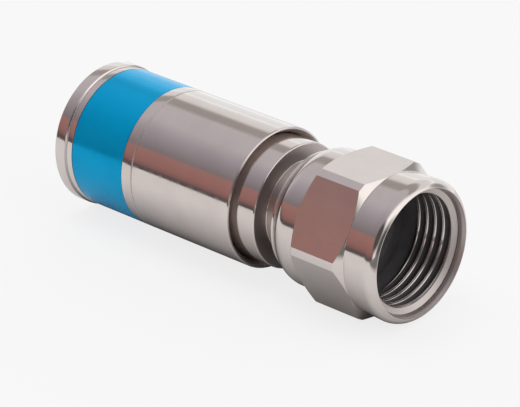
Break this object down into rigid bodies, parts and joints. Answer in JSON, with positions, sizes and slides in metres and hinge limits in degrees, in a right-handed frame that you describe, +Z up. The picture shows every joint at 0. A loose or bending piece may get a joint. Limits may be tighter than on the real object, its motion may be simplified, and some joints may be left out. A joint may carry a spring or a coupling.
{
  "type": "f connector",
  "caption": "Male F connector for coaxial cable: free-turning hexagon nut with threaded mouth, body on a hollow post, and a sleeve with a blue band that is pressed forward to grip the cable.",
  "frame": {"origin": "centre of the post's front face, on the connector's axis, where the mating port's end seats", "axes": "+X along the connector's axis, out of the threaded mouth; +Z up, square to a flat of the hexagon nut at rest; +Y completes the right-handed set"},
  "size_m": [0.0329, 0.0124, 0.0114],
  "materials": {
    "nickel": "turned brass with a bright nickel plate",
    "band_blue": "gloss",
    "grip_white": "satin",
    "seal_black": "matte"
  },
  "bodies": {
    "body": {"connector_body": "nickel", "post": "nickel", "nut_seal": "seal_black", "body_seal": "seal_black"},
    "nut": {"coupling_nut": "nickel"},
    "sleeve": {"compression_sleeve": "nickel", "colour_ring": "band_blue", "grip_ring": "grip_white"}
  },
  "joints": [
    {"name": "nut_spin", "type": "hinge", "parent": "body", "child": "nut", "pos_m": [0, 0, 0], "axis": [1, 0, 0], "continuous": true},
    {"name": "sleeve_press", "type": "slide", "parent": "body", "child": "sleeve", "axis": [1, 0, 0], "range_m": [0, 0.002]}
  ]
}
